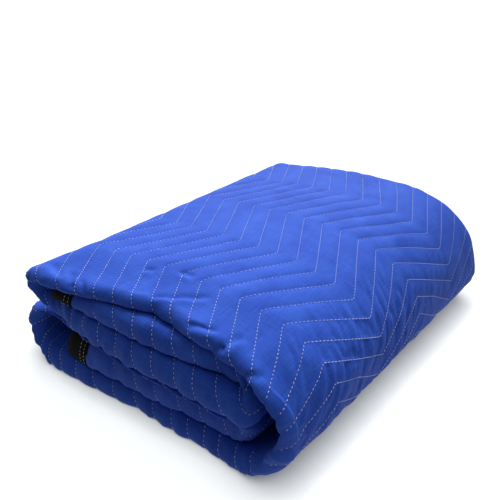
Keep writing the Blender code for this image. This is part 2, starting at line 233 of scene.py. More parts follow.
def section(row, crest=0.0):
    """y, w and the outward normal of the ply's middle: 0 to 1 ply D from its cut edge to the front, 1 to 2
    the front fold, 2 to 3 ply A to the back, 3 to 4 the back fold, 4 to 5 ply B to the front, 5 to 6 the
    inner front fold and 6 to 7 ply C to its cut edge. The crest is where across the fold its crease lies."""
    part = np.minimum(row.astype(int), 6)
    share = row - part
    y, w = np.zeros_like(row), np.zeros_like(row)
    normal_y, normal_w = np.zeros_like(row), np.zeros_like(row)
    straight = {0: (-1.5, -1, EDGE_Y), 2: (1.5, 1, BACK_CENTRE_Y),
                4: (0.5, -1, BACK_CENTRE_Y), 6: (-0.5, 1, EDGE_Y)}
    for index, (level, side, back) in straight.items():
        here = part == index
        forward = index in (0, 4)
        y[here] = back * (1 - share[here] if forward else share[here])
        w[here] = level * PLY_PITCH
        normal_w[here] = side
    crest = np.broadcast_to(crest, row.shape)
    for index, w_radius, side in ((1, 1.5, 1), (5, 0.5, -1)):
        here = part == index
        turn = math.pi * (share[here] - 0.5)
        if index == 1:
            past = np.sin(turn) - crest[here]
            away = np.abs(past) / (1 - np.sign(past) * crest[here])
            reach = np.maximum(1 - away ** FOLD_POWER, 0.0) ** FOLD_ROOT
            y[here] = -(FRONT_NOSE - HALF_PLY) * reach
        else:
            y_radius = FRONT_NOSE - HALF_PLY - (PLY_PITCH + INNER_FOLD_SLACK)
            y[here] = -y_radius * np.maximum(np.cos(turn), 0.0)
        w[here] = side * w_radius * PLY_PITCH * np.sin(turn)
        normal_y[here] = -side * np.cos(turn)
        normal_w[here] = np.sin(turn)
    here = part == 3
    turn = math.pi * share[here]
    y[here] = BACK_CENTRE_Y + PLY_PITCH / 2 * np.sin(turn)
    w[here] = PLY_PITCH + PLY_PITCH / 2 * np.cos(turn)
    normal_y[here], normal_w[here] = np.sin(turn), np.cos(turn)
    return y, w, normal_y, normal_w


# The fronts wander a little along the cloth: two waves multiplied, and a finer one, each as a length.
WANDER, FINE_WANDER = 0.0010, 0.0006
WANDER_WAVES, FINE_WANDER_WAVE, FINE_WANDER_PHASE = (0.0093, 0.031), 0.0171, 2.0
WANDER_REACH = 0.045
# The left folds slant in towards their foot and bulge out at the front.
LEFT_FOLDS_X = (0.10, 0.08)
FOOT_DRAWN_IN = 0.022
UPPER_FOOT, LOWER_FOOT = (-0.100, 0.035), (-0.042, 0.045)
UPPER_BULGE, LOWER_BULGE, BULGE_Y = 0.014, 0.008, 0.09
# The cut ends lie a little further left than the even coil puts them.
END_SHIFT_UPPER, END_SHIFT_LOWER, END_REACH = 0.012, 0.006, 0.12
# The right-hand tips of the inner layers reach further towards the wide turn, the lowest of them most.
TIP_X = (0.09, 0.05)
UPPER_TIP_LEVELS, UPPER_TIP_REACH, LOWER_TIP_REACH = (0.062, 0.091, 0.1), (0.022, 0.0, -0.006), 0.010


def wander(u):
    """How far the front folds stray from a straight line, in metres."""
    first, second = WANDER_WAVES
    return (WANDER * np.sin(u / first) * np.sin(u / second)
            + FINE_WANDER * np.sin(u / FINE_WANDER_WAVE + FINE_WANDER_PHASE))


def left_slant(u, x, y, z):
    """How far to the right the left folds are drawn."""
    upper = u > WIDE_FROM + RUNS[WIDE_TURN].span / 2
    left = ramp(-x, *LEFT_FOLDS_X) * ((u > RUNS[FIRST_TURN].start) & (u < RUNS[LAST_RUN].start))
    ahead = 1 - ease(y / BULGE_Y)
    return left * np.where(upper, FOOT_DRAWN_IN * ramp(-z, *UPPER_FOOT) - UPPER_BULGE * ahead,
                           FOOT_DRAWN_IN * ramp(-z, *LOWER_FOOT) - LOWER_BULGE * ahead)


def end_shift(u):
    """How far to the left the cut ends are moved."""
    upper = END_SHIFT_UPPER * ramp(u, PANEL_LENGTH - END_REACH, END_REACH)
    return upper + END_SHIFT_LOWER * ramp(-u, -END_REACH, END_REACH)


def tip_shift(u, x, z):
    """How far to the right the tips of the inner layers reach."""
    tip = ramp(x, *TIP_X)
    upper = np.where(u > LEFT_TO - 0.01, tip * np.interp(z, UPPER_TIP_LEVELS, UPPER_TIP_REACH), 0)
    return upper + np.where(u < LOW_LEFT_FROM, tip * LOWER_TIP_REACH, 0)


def place(u, row, offset):
    """Where a point of the panel lies, offset from its ply's middle towards the blue face."""
    inside = np.clip(u, 0.0, PANEL_LENGTH)
    y, w, normal_y, normal_w = section(row, CREASE_HEIGHT * crease_side(inside))
    x, _ = coil(inside, w)
    closed = closing(inside, x + TO_MIDDLE[0]) * (1 - ease(y / CLOSING_Y))
    x, z = coil(inside, (w + normal_w * offset) * (1 - closed) - closed * OUTER_PLY_W)
    x = x + np.where(u < 0, RUNS[0].heading, RUNS[-1].heading) * (u - inside)
    y = y + normal_y * offset
    y = y + wander(inside) * (1 - ease(y / WANDER_REACH))
    part_x = x + TO_MIDDLE[0]
    pressed = (1 - ease(y / PRESSED_Y)) * (1 - ramp(part_x, *CLOSING_X))
    z = z + pressed * (np.interp(z, EVEN_LEVELS, FRONT_LEVELS) - np.clip(z, 0.0, EVEN_LEVELS[-1]))
    y = y + (1 - y / BACK_CENTRE_Y) * (front_line(inside, part_x) - EVEN_FRONT_Y)
    x = x + left_slant(inside, part_x, y, z) - end_shift(inside) + tip_shift(inside, part_x, z)
    x, z = settle(x, y, z)
    return np.stack([x + TO_MIDDLE[0], y + TO_MIDDLE[1], z + TO_MIDDLE[2]], axis=-1)


# The zigzag is measured on the outermost ply: v runs along the cloth, and t across it. Its lines are
# STITCH_SPACING apart and swing by as much, and its corners lie in rows STROKE_Y apart.
STITCH_SPACING = 0.0273
STROKE_Y = 0.0956
CORNER_Y = -0.138
LINE_AT = 0.0217
CORNER_SHARPNESS = 0.998
OUTER_W = OUTER_PLY_W + HALF_PLY
FRONT_FOLD_LENGTH = math.pi * (OUTER_PLY_W + FRONT_NOSE - HALF_PLY) / 2
BACK_FOLD_LENGTH = math.pi * PLY_PITCH / 2
INNER_FOLD_LENGTH = 0.013
# The rows of corners slant a little on the top layer, and the inner folds lie aslant of them.
CORNER_SLANT, SLANT_FROM, SLANT_LENGTH = 0.008, 0.03, 0.22
OBLIQUE_FOLD, OBLIQUE_BELOW, OBLIQUE_ABOVE = 0.035, (0.19, 0.09), 0.075


def cloth_length(u):
    """Length along the outermost ply, which is longer than the middle of the plies wherever it turns."""
    turned = sum(np.clip((u - run.start) / run.radius, 0, math.pi) for run in RUNS if run.radius)
    return u + OUTER_W * (turned - RUNS[TOP_RUN].turned)


TABLE_U = np.linspace(0, PANEL_LENGTH, 4001)
TABLE_V = cloth_length(TABLE_U)


def along(v):
    """The u at a length along the outermost ply."""
    ends = np.clip(v, TABLE_V[0], TABLE_V[-1])
    return np.interp(ends, TABLE_V, TABLE_U)


def oblique(u):
    """0 on the outer turn and 1 further in, where the folds lie a little aslant of the rows of corners."""
    start, length = OBLIQUE_BELOW
    return 1 - ramp(u, LOW_LEFT_TO + start, length) * ease((LEFT_TO - u) / OBLIQUE_ABOVE)


def across(u, row):
    """Distance across the cloth, which is y on the outermost ply and runs on round the folds."""
    y = place(u, np.clip(row, 2.0, 3.0), np.full_like(u, HALF_PLY))[..., 1]
    before = np.clip(2 - row, 0, 1) * FRONT_FOLD_LENGTH + np.clip(1 - row, 0, 1) * EDGE_Y
    after = (np.clip(row - 3, 0, 1) * BACK_FOLD_LENGTH + np.clip(row - 4, 0, 1) * BACK_CENTRE_Y
             + np.clip(row - 5, 0, 1) * INNER_FOLD_LENGTH + np.clip(row - 6, 0, 1) * EDGE_Y)
    on_top = np.clip((u - WIDE_TO - SLANT_FROM) / SLANT_LENGTH, 0, 1)
    return y - before + after + OBLIQUE_FOLD * oblique(u) - CORNER_SLANT * on_top * (1 - oblique(u))


def zigzag(t):
    """How far a stitch line has swung at t across the cloth, from -1 to 1, with slightly rounded corners."""
    turn = math.pi * (t - CORNER_Y) / STROKE_Y
    return np.arcsin(CORNER_SHARPNESS * np.cos(turn)) / math.asin(CORNER_SHARPNESS)


# The padding puffs up between the stitch lines: least between layers, more on the outer turn, and most
# at the front folds. The tape covers BINDING_WIDTH of each cut edge, where the panel is sewn flat.
PUFF_PRESSED, PUFF_FREE, PUFF_NOSE, PUFF_INNER = 0.0004, 0.0007, 0.0011, 0.0003
PUFF_ROUNDNESS = 0.6
FREE_EDGE, LOW_FREE_EDGE = 0.04, 0.02
NOSE_FROM, NOSE_ROWS = 0.9, 1.25
SEAM_HALF = 0.0010
SEAM_STEP = 0.0025
BINDING_WIDTH = 0.030
# Drag lines run aslant over the wide turn, most of all near its front. Each noise has its width and
# length in metres and a seed, and a sharpness where it is drawn as a narrow trough.
DRAG_SLOPE, DRAG_FLOOR = 0.54, 0.2
DRAG_ON, DRAG_OFF, DRAG_NEAR = 0.04, (0.01, 0.07), (0.11, 0.12)
DRAG_DEPTH, DRAG_WIDTH, DRAG_LENGTH, DRAG_SHARPNESS = 0.0032, 0.0150, 0.055, 2.6
FINE_DRAG_DEPTH, FINE_DRAG_RATIO, FINE_DRAG_LENGTH, FINE_DRAG_SHARPNESS = 0.0010, 1.9, 0.035, 3.0
WAVE_DEPTH, WAVE_SIZE, FINE_WAVE_SIZE = 0.0008, (0.050, 0.065), (0.016, 0.028)
PUCKER_DEPTH, CRUMPLE_DEPTH = 0.0012, 0.0022
PUCKER_SIZE, FINE_PUCKER_SIZE, FINE_PUCKER_SHARE = (0.0105, 0.026), (0.0055, 0.018), 0.6
# Where the cloth is crumpled, as (u, half the length of that stretch): at the folds on both sides, where
# the bottom layer turns up, and at the left of the third layer from above.
CRUMPLED = (
    (WIDE_FROM + 0.05, 0.06),
    (RUNS[FIRST_TURN].start + 0.018, 0.03),
    (RUNS[LAST_TURN].start + 0.018, 0.03),
    (LOW_LEFT_FROM + 0.036, 0.035),
    (LEFT_FROM + 0.036, 0.035),
    (LEFT_TO + 0.075, 0.05),
)
# Creases that show on the top and the wide turn, as (x, y) at both ends, depth and half width, in metres.
# On the turn x runs on along the cloth, as if it were laid flat. Each has a low ridge beside it.
CREASES = (
    (-0.010, -0.186, 0.041, -0.156, 0.0026, 0.0034),
    (-0.056, -0.154, -0.043, -0.150, 0.0020, 0.0034),
    (-0.014, -0.137, 0.003, -0.137, 0.0020, 0.0034),
    (0.052, -0.198, 0.082, -0.188, 0.0036, 0.0038),
    (0.097, -0.204, 0.104, -0.178, 0.0034, 0.0042),
    (0.086, -0.214, 0.100, -0.200, 0.0026, 0.0034),
    (0.132, -0.216, 0.150, -0.196, 0.0036, 0.0040),
    (-0.152, -0.198, -0.124, -0.214, 0.0030, 0.0046),
    (-0.122, -0.200, -0.104, -0.222, 0.0036, 0.0044),
    (-0.102, -0.204, -0.084, -0.222, 0.0032, 0.0040),
    (0.250, -0.216, 0.256, -0.190, 0.0028, 0.0036),
)
CREASE_END, CREASE_FADE = 0.15, 0.3
RIDGE, RIDGE_ASIDE, RIDGE_WIDTH = 0.45, 2.2, 1.3
CREASED_FROM_ROW = 1.25


def exposure(u):
    """1 on the outer turn and in the left folds, where nothing presses on the quilting, and 0 inside."""
    outer = ramp(u, WIDE_FROM - FREE_EDGE, FREE_EDGE) * ease((LEFT_TO - u) / FREE_EDGE)
    lower = ramp(u, LOW_LEFT_FROM, LOW_FREE_EDGE) * ease((LOW_LEFT_TO - u) / LOW_FREE_EDGE)
    return np.maximum(outer, lower)


def wrinkle(a, b, seed):
    """Smooth noise at each pair of values, from about -1 to 1."""
    values = [noise.noise(Vector((p, q, seed))) for p, q in zip(a.ravel(), b.ravel())]
    return np.array(values).reshape(a.shape)


def creased(x, y):
    """How deep the creases are at a place on the cloth."""
    depth = np.zeros_like(x)
    for x1, y1, x2, y2, deep, wide in CREASES:
        length = math.hypot(x2 - x1, y2 - y1)
        share = ((x - x1) * (x2 - x1) + (y - y1) * (y2 - y1)) / length ** 2
        aside = ((x - x1) * (y2 - y1) - (y - y1) * (x2 - x1)) / length
        end = ramp(share, -CREASE_END, CREASE_FADE) * ease((1 + CREASE_END - share) / CREASE_FADE)
        ridge = RIDGE * np.exp(-((aside - RIDGE_ASIDE * wide) / (RIDGE_WIDTH * wide)) ** 2)
        depth += deep * end * (np.exp(-(aside / wide) ** 2) - ridge)
    return depth


def sewn_flat(u, row):
    """Whether a place is under the tape."""
    sewn = np.minimum(u, PANEL_LENGTH - u) < BINDING_WIDTH + SEAM_STEP / 2
    at_edge = section(row)[0] > EDGE_Y - BINDING_WIDTH - SEAM_STEP / 2
    return sewn | (((row < 1) | (row > 6)) & at_edge)


def drag_lines(u, v, t):
    """How deep the drag lines are on the wide turn."""
    turning = ramp(u, WIDE_FROM, DRAG_ON) * ease((WIDE_TO + DRAG_OFF[0] - u) / DRAG_OFF[1])
    near = ease((DRAG_NEAR[0] - t) / DRAG_NEAR[1])
    slant = (t - DRAG_SLOPE * v) / DRAG_WIDTH
    broad = 1 - DRAG_SHARPNESS * np.abs(wrinkle(slant, v / DRAG_LENGTH, 3.0))
    fine = 1 - FINE_DRAG_SHARPNESS * np.abs(wrinkle(slant * FINE_DRAG_RATIO, v / FINE_DRAG_LENGTH, 6.0))
    depth = DRAG_DEPTH * np.maximum(0, broad) ** 1.5 + FINE_DRAG_DEPTH * np.maximum(0, fine)
    return turning * (DRAG_FLOOR + (1 - DRAG_FLOOR) * near) * depth


def blue_offset(u, v, row, t):
    """How far the blue face lies from the middle of its ply: puffed between the stitch lines, and creased."""
    phase = (v - STITCH_SPACING * zigzag(t) - LINE_AT) / STITCH_SPACING
    crest = np.abs(np.sin(math.pi * phase)) ** PUFF_ROUNDNESS
    free = np.where((row >= 2) & (row <= 3), exposure(u), 0.0)
    on_nose = (row > NOSE_FROM) & (row < NOSE_FROM + NOSE_ROWS)
    nose = np.where(on_nose, np.sin(math.pi * np.clip((row - NOSE_FROM) / NOSE_ROWS, 0, 1)), 0.0)
    puff = PUFF_PRESSED + (PUFF_FREE - PUFF_PRESSED) * free + (PUFF_NOSE - PUFF_PRESSED) * nose * (1 - free)
    offset = HALF_PLY + puff * (2 * crest - 1)
    offset = offset - free * crest ** 0.5 * drag_lines(u, v, t)
    soft = (wrinkle(t / WAVE_SIZE[0], v / WAVE_SIZE[1], 9.0)
            + 0.5 * wrinkle(t / FINE_WAVE_SIZE[0], v / FINE_WAVE_SIZE[1], 11.0))
    offset = offset + WAVE_DEPTH * free * soft
    pucker = (wrinkle(v / PUCKER_SIZE[0], t / PUCKER_SIZE[1], 14.0)
              + FINE_PUCKER_SHARE * wrinkle(v / FINE_PUCKER_SIZE[0], t / FINE_PUCKER_SIZE[1], 15.0))
    crumple = sum(np.exp(-((u - middle) / reach) ** 2) for middle, reach in CRUMPLED)
    offset = offset + (PUCKER_DEPTH + CRUMPLE_DEPTH * crumple) * nose * pucker
    shown = np.where((row >= CREASED_FROM_ROW) & (row <= 3), exposure(u), 0.0)
    flat_x = RUNS[TOP_RUN].x + TO_MIDDLE[0] + WIDE_TO - v
    offset = np.maximum(offset - creased(flat_x, t) * shown, SEAM_HALF - HALF_PLY)
    offset = np.where(row > 3, HALF_PLY - PUFF_INNER * (1 - crest), offset)
    return np.where(sewn_flat(u, row), SEAM_HALF, offset)


def spaced(start, end, count):
    """Values from start to just short of end."""
    return [start + (end - start) * i / count for i in range(count)]


# Where points lie across the cloth, by row: close together where the face shows, and far apart inside.
SEAM_ROW = BINDING_WIDTH / EDGE_Y
SWELL_ROW = (BINDING_WIDTH + SEAM_STEP) / EDGE_Y
HIDDEN_ROWS = [0.0, SEAM_ROW / 2, SEAM_ROW, SWELL_ROW] + spaced(0.15, 0.9, 10) + spaced(0.9, 1.0, 7)
FOLD_ROWS = spaced(1.0, 2.0, 22)
PRESSED_ROWS = spaced(2.0, 2.12, 9) + spaced(2.12, 2.9, 10) + spaced(2.9, 3.0, 4)
OPEN_ROWS = spaced(2.0, 3.0, 165)
LEFT_ROWS = spaced(2.0, 2.2, 20) + spaced(2.2, 3.0, 50)
BACK_ROWS = spaced(3.0, 4.0, 6) + spaced(4.0, 5.0, 8) + spaced(5.0, 6.0, 6)
LAST_ROWS = spaced(6.0, 7 - SWELL_ROW, 6) + [7 - SWELL_ROW, 7 - SEAM_ROW, 7 - SEAM_ROW / 2, 7.0]
BLACK_ROWS = ([0.0, SEAM_ROW, SWELL_ROW] + spaced(0.2, 1.0, 6) + spaced(1.0, 2.0, 6) + spaced(2.0, 3.0, 14)
              + spaced(3.0, 4.0, 4) + spaced(4.0, 5.0, 8) + spaced(5.0, 6.0, 4)
              + spaced(6.0, 7 - SWELL_ROW, 5) + [7 - SWELL_ROW, 7 - SEAM_ROW, 7.0])
OUTER_STEPS, INNER_STEPS = 10, 6
BLACK_STEP = 3
SHORTEST_STEP = 0.002
STRAIGHTENS = 0.09


def blue_lines():
    """(v, rows) for each line of points on the blue face. Every stitch line has one."""
    lines = [(TABLE_V[0], HIDDEN_ROWS + FOLD_ROWS + PRESSED_ROWS + BACK_ROWS + LAST_ROWS)]
    first = math.ceil((TABLE_V[0] - LINE_AT) / STITCH_SPACING)
    last = math.ceil((TABLE_V[-1] - LINE_AT) / STITCH_SPACING)
    for k in range(first, last):
        start = LINE_AT + k * STITCH_SPACING
        u = float(along(np.array(start)))
        outer = WIDE_FROM - 0.03 < u < LEFT_TO + 0.02
        left = LOW_LEFT_FROM - 0.01 < u < LOW_LEFT_TO + 0.01
        shown = OPEN_ROWS if outer else LEFT_ROWS if left else PRESSED_ROWS
        for v in spaced(start, start + STITCH_SPACING, OUTER_STEPS if outer else INNER_STEPS):
            if v < TABLE_V[-1] - SHORTEST_STEP:
                lines.append((v, HIDDEN_ROWS + FOLD_ROWS + shown + BACK_ROWS + LAST_ROWS))
    lines.append((TABLE_V[-1], lines[0][1]))
    return lines


def swung(v, row):
    """u, v and t after the line through v has swung to its zigzag. It straightens towards the cut ends."""
    end = np.minimum(v - TABLE_V[0], TABLE_V[-1] - v)
    reach = STITCH_SPACING * ease(end / STRAIGHTENS)
    moved = v
    for _ in range(4):
        moved = v + reach * zigzag(across(along(moved), row))
    u = along(moved)
    return u, moved, across(u, row)


def zip_lines(one, other):
    """Triangles between two lines of (key, index), taking whichever line's next key is lower."""
    faces, i, j = [], 0, 0
    while i < len(one) - 1 or j < len(other) - 1:
        if j == len(other) - 1 or (i < len(one) - 1 and one[i + 1][0] <= other[j + 1][0]):
            faces.append((one[i][1], one[i + 1][1], other[j][1]))
            i += 1
        else:
            faces.append((one[i][1], other[j + 1][1], other[j][1]))
            j += 1
    return faces


def zip_even(one, other):
    """Quads between two lines with the same keys, or triangles where the keys differ."""
    if [key for key, _ in one] != [key for key, _ in other]:
        return zip_lines(one, other)
    return [(a, b, c, d) for (_, a), (_, b), (_, c), (_, d) in zip(one, one[1:], other[1:], other)]


def make_mesh(name, points, faces, slots=None, cloth=None):
    """An object from points and faces, with cloth positions in metres as its UV map."""
    mesh = bpy.data.meshes.new(name)
    mesh.from_pydata([tuple(p) for p in points], [], faces)
    if slots is not None:
        mesh.polygons.foreach_set("material_index", slots)
    if cloth is not None:
        corners = np.empty(len(mesh.loops), dtype=np.int32)
        mesh.loops.foreach_get("vertex_index", corners)
        layer = mesh.uv_layers.new(name="cloth")
        layer.data.foreach_set("uv", np.asarray(cloth)[corners].ravel().astype(np.float32))
    mesh.shade_smooth()
    thing = bpy.data.objects.new(name, mesh)
    bpy.context.scene.collection.objects.link(thing)
    return thing


def make_panel():
    """The closed skin of the panel, blue outside and black on its back."""
    lines = blue_lines()
    v = np.concatenate([np.full(len(rows), value) for value, rows in lines])
    row = np.concatenate([np.array(rows) for _, rows in lines])
    u, moved, t = swung(v, row)
    points = [place(u, row, blue_offset(u, moved, row, t))]
    cloth = [np.stack([moved, t], axis=-1)]
    blue, start = [], 0
    for value, rows in lines:
        blue.append([(key, start + i) for i, key in enumerate(rows)])
        start += len(rows)
    back_v = [value for value, _ in lines][::BLACK_STEP]
    if back_v[-1] != lines[-1][0]:
        back_v.append(lines[-1][0])
    black = []
    rows = np.array(BLACK_ROWS)
    for value in back_v:
        u = along(np.full(len(rows), value))
        points.append(place(u, rows, -np.where(sewn_flat(u, rows), SEAM_HALF, HALF_PLY)))
        cloth.append(np.stack([np.full(len(rows), value), across(u, rows)], axis=-1))
        black.append([(key, start + i) for i, key in enumerate(BLACK_ROWS)])
        start += len(rows)
    faces = []
    for one, other in zip(blue, blue[1:]):
        faces += zip_even(one, other)
    slots = [0] * len(faces)
    for one, other in zip(black, black[1:]):
        faces += [f[::-1] for f in zip_even(one, other)]
    faces += zip_lines(black[0], blue[0]) + zip_lines(blue[-1], black[-1])
    for end in (0, -1):
        blue_edge = [(value, line[end][1]) for (value, _), line in zip(lines, blue)]
        black_edge = [(value, line[end][1]) for value, line in zip(back_v, black)]
        rim = zip_lines(blue_edge, black_edge)
        faces += [f[::-1] for f in rim] if end == 0 else rim
    slots += [1] * (len(faces) - len(slots))
    return make_mesh("quilted_cloth", np.concatenate(points), faces, slots, np.concatenate(cloth))


def linear(hex_colour):
    """An sRGB hex colour as linear RGBA."""
    parts = [int(hex_colour[i:i + 2], 16) / 255 for i in (1, 3, 5)]
    return tuple(c / 12.92 if c <= 0.04045 else ((c + 0.055) / 1.055) ** 2.4 for c in parts) + (1.0,)


def add(tree, kind, settings=None, links=None):
    """Adds a node, sets its properties and sockets, and links other nodes' outputs to its inputs."""
    node = tree.nodes.new(kind)
    for name, value in (settings or {}).items():
        if isinstance(name, str) and hasattr(node, name):
            setattr(node, name, value)
        else:
            node.inputs[name].default_value = value
    for name, source in (links or {}).items():
        tree.links.new(source, node.inputs[name])
    return node


def new_material(name):
    """An empty material with its Principled shader."""
    material = bpy.data.materials.new(name)
    material.use_nodes = True
    return material, material.node_tree, material.node_tree.nodes["Principled BSDF"]


# Plain-woven polyester, dyed: matt and nearly without gloss, so the eye sees its colour and the shade in
# its folds. Its threads are about 0.4 mm apart, too fine to show, so the weave is drawn as slubs 1.6 mm
# wide, and the dye as two close shades that change over about 40 mm. The face is blue; the back is the
# same cloth in black, and makes the inside of the folds look dark.
SLUB_WIDTH, SLUB_LENGTH = 0.0016, 0.022
DYE_PATCHES_PER_METRE = 26.0
WEAVE_RELIEF, WEAVE_STRENGTH = 0.0003, 0.35
# The places of the two colours and the mixed colour among a colour mix node's sockets.
MIX_A, MIX_B, MIXED = 6, 7, 2


def woven_cloth(name, dark, light, roughness, sheen):
    """Plain-woven cloth with slubs along both threads, in two close shades."""
    material, tree, shader = new_material(name)
    flat = add(tree, "ShaderNodeUVMap", {"uv_map": "cloth"}).outputs["UV"]
    slubs = []
    for scale in ((1 / SLUB_WIDTH, 1 / SLUB_LENGTH, 1), (1 / SLUB_LENGTH, 1 / SLUB_WIDTH, 1)):
        stretched = add(tree, "ShaderNodeMapping", {"Scale": scale}, {"Vector": flat})
        slubs.append(add(tree, "ShaderNodeTexNoise", {"Scale": 1.0, "Detail": 3.0},
                         {"Vector": stretched.outputs["Vector"]}).outputs["Fac"])
    weave = add(tree, "ShaderNodeMath", {"operation": "ADD"}, {0: slubs[0], 1: slubs[1]}).outputs[0]
    dye = add(tree, "ShaderNodeTexNoise", {"Scale": DYE_PATCHES_PER_METRE, "Detail": 2.0}, {"Vector": flat})
    mixed = add(tree, "ShaderNodeMath", {"operation": "ADD"}, {0: weave, 1: dye.outputs["Fac"]})
    share = add(tree, "ShaderNodeMapRange", {"From Min": 1.1, "From Max": 1.9}, {"Value": mixed.outputs[0]})
    shade = add(tree, "ShaderNodeMix", {"data_type": "RGBA", MIX_A: linear(dark), MIX_B: linear(light)},
                {"Factor": share.outputs["Result"]})
    bump = add(tree, "ShaderNodeBump", {"Strength": WEAVE_STRENGTH, "Distance": WEAVE_RELIEF},
               {"Height": weave})
    tree.links.new(shade.outputs[MIXED], shader.inputs["Base Color"])
    tree.links.new(bump.outputs["Normal"], shader.inputs["Normal"])
    shader.inputs["Roughness"].default_value = roughness
    shader.inputs["Sheen Weight"].default_value = sheen
    shader.inputs["Sheen Roughness"].default_value = 0.4
    shader.inputs["Specular IOR Level"].default_value = 0.12
    return material


panel = make_panel()
panel.data.materials.append(woven_cloth("blue_woven_polyester", "#2145AE", "#315CC7", 0.85, 0.03))
panel.data.materials.append(woven_cloth("black_woven_polyester", "#0C0D0F", "#15161A", 0.85, 0.05))
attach(panel, "root")
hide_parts("quilted_panel")


# The quilting thread: white spun polyester, sewn in a running line of stitches about 5 mm long. Each
# stitch lies on the cloth for two thirds of its length and dives into it at both ends.
STITCH_PITCH = 0.0046
STITCH_LENGTH = 0.0034
THREAD_HALF = 0.00034
FLATTENED = 0.8
ON_FACE, ON_FOLD = 0.0003, 0.0001
# Along each stitch, from 0 to 1: how far it stands above the cloth in metres, and its share of the width.
STATIONS = np.array([0.0, 0.22, 0.5, 0.78, 1.0])
STATION_LIFTS = np.array([-0.0006, 0.0001, 0.0003, 0.0001, -0.0006])
STATION_WIDTHS = np.array([0.0, 0.85, 1.0, 0.85, 0.0])
# Stitches stop short of the cut ends. They are left out where no eye reaches: between pressed layers and
# in the hollow of the wide turn.
BARE_END = 0.05
FOLD_UNTIL_ROW, BACK_FROM_ROW, HOLLOW_UNTIL_ROW, HOLLOW_MARGIN = 2.08, 2.97, 1.4, 0.02


def lay_stitches(centre, upward, shows):
    """Lens-shaped stitches along a path, each of three rings of four points and two tips."""
    steps = np.linalg.norm(np.diff(centre, axis=0), axis=1)
    arc = np.concatenate([[0.0], np.cumsum(steps)])
    widths = STATION_WIDTHS * THREAD_HALF
    points, faces = [], []
    for begin in np.arange(0.0, arc[-1] - STITCH_LENGTH, STITCH_PITCH):
        if not np.interp(begin, arc, shows):
            continue
        at = begin + STATIONS * STITCH_LENGTH
        path = np.stack([np.interp(at, arc, centre[:, i]) for i in range(3)], axis=-1)
        up = np.stack([np.interp(at, arc, upward[:, i]) for i in range(3)], axis=-1)
        up /= np.linalg.norm(up, axis=1, keepdims=True)
        side = np.cross(path[-1] - path[0], up)
        side /= np.linalg.norm(side, axis=1, keepdims=True)
        path = path + up * STATION_LIFTS[:, None]
        base = len(points)
        points.append(path[0])
        for k in (1, 2, 3):
            points += [path[k] + side[k] * widths[k], path[k] + up[k] * widths[k] * FLATTENED,
                       path[k] - side[k] * widths[k], path[k] - up[k] * widths[k] * FLATTENED]
        points.append(path[4])
        last = base + 13
        for q in range(4):
            r = (q + 1) % 4
            faces.append((base, base + 1 + r, base + 1 + q))
            for ring in (base + 1, base + 5):
                faces.append((ring + q, ring + r, ring + 4 + r, ring + 4 + q))
            faces.append((base + 9 + q, base + 9 + r, last))
    return points, faces


def gather(rows_of_stitches):
    """Joins several rows of stitches into one list of points and faces."""
    points, faces = [], []
    for more_points, more_faces in rows_of_stitches:
        base = len(points)
        points += more_points
        faces += [tuple(i + base for i in f) for f in more_faces]
    return points, faces


def quilting():
    """Every line of stitches, where the blue face can be seen."""
    first = math.ceil((TABLE_V[0] + BARE_END - LINE_AT) / STITCH_SPACING)
    last = math.floor((TABLE_V[-1] - BARE_END - LINE_AT) / STITCH_SPACING)
    row = np.array(spaced(0.88, 1.0, 30) + spaced(1.0, 2.0, 50) + spaced(2.0, 3.0, 400)
                   + list(np.linspace(3.0, 3.5, 12)))
    found = []
    for k in range(first, last + 1):
        v = np.full_like(row, LINE_AT + k * STITCH_SPACING)
        moved = v
        for _ in range(5):
            moved = v + STITCH_SPACING * zigzag(across(along(moved), row))
        u = along(moved)
        inside = (u > BINDING_WIDTH) & (u < PANEL_LENGTH - BINDING_WIDTH)
        on_turn = (u > WIDE_FROM + HOLLOW_MARGIN) & (u < WIDE_TO - HOLLOW_MARGIN)
        hollow = (row < HOLLOW_UNTIL_ROW) & on_turn
        outside = (exposure(u) > 0.02) | (row < FOLD_UNTIL_ROW) | (row > BACK_FROM_ROW)
        shows = (outside & inside & ~hollow).astype(float)
        offset = blue_offset(u, moved, row, across(u, row)) + np.where(row < 2, ON_FOLD, ON_FACE)
        centre = place(u, row, offset)
        found.append(lay_stitches(centre, place(u, row, offset + 0.001) - centre, shows))
    points, faces = gather(found)
    return [(x, y, max(z, 0.0)) for x, y, z in points], faces


# Spun thread: dull and a little fuzzy. Its twist is too fine to show as shape, so its light and shade is
# painted as a faint change of colour about a millimetre long.
TWIST_PER_METRE = 900.0


def spun_thread(name, dark, light, roughness):
    """Twisted thread in two close shades."""
    material, tree, shader = new_material(name)
    twist = add(tree, "ShaderNodeTexNoise", {"Scale": TWIST_PER_METRE, "Detail": 2.0})
    tint = add(tree, "ShaderNodeMix", {"data_type": "RGBA", MIX_A: linear(dark), MIX_B: linear(light)},
               {"Factor": twist.outputs["Fac"]})
    tree.links.new(tint.outputs[MIXED], shader.inputs["Base Color"])
    shader.inputs["Roughness"].default_value = roughness
    return material


thread = make_mesh("quilting_thread", *quilting())
# The white thread is coloured darker and bluer than white: painted shade where the thread sinks into the
# cloth, and a painted blue cast of light from the cloth around it.
thread.data.materials.append(spun_thread("white_thread_painted_shade_blue_cast", "#B4BFE0", "#E9EDF9", 0.6))
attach(thread, "root")


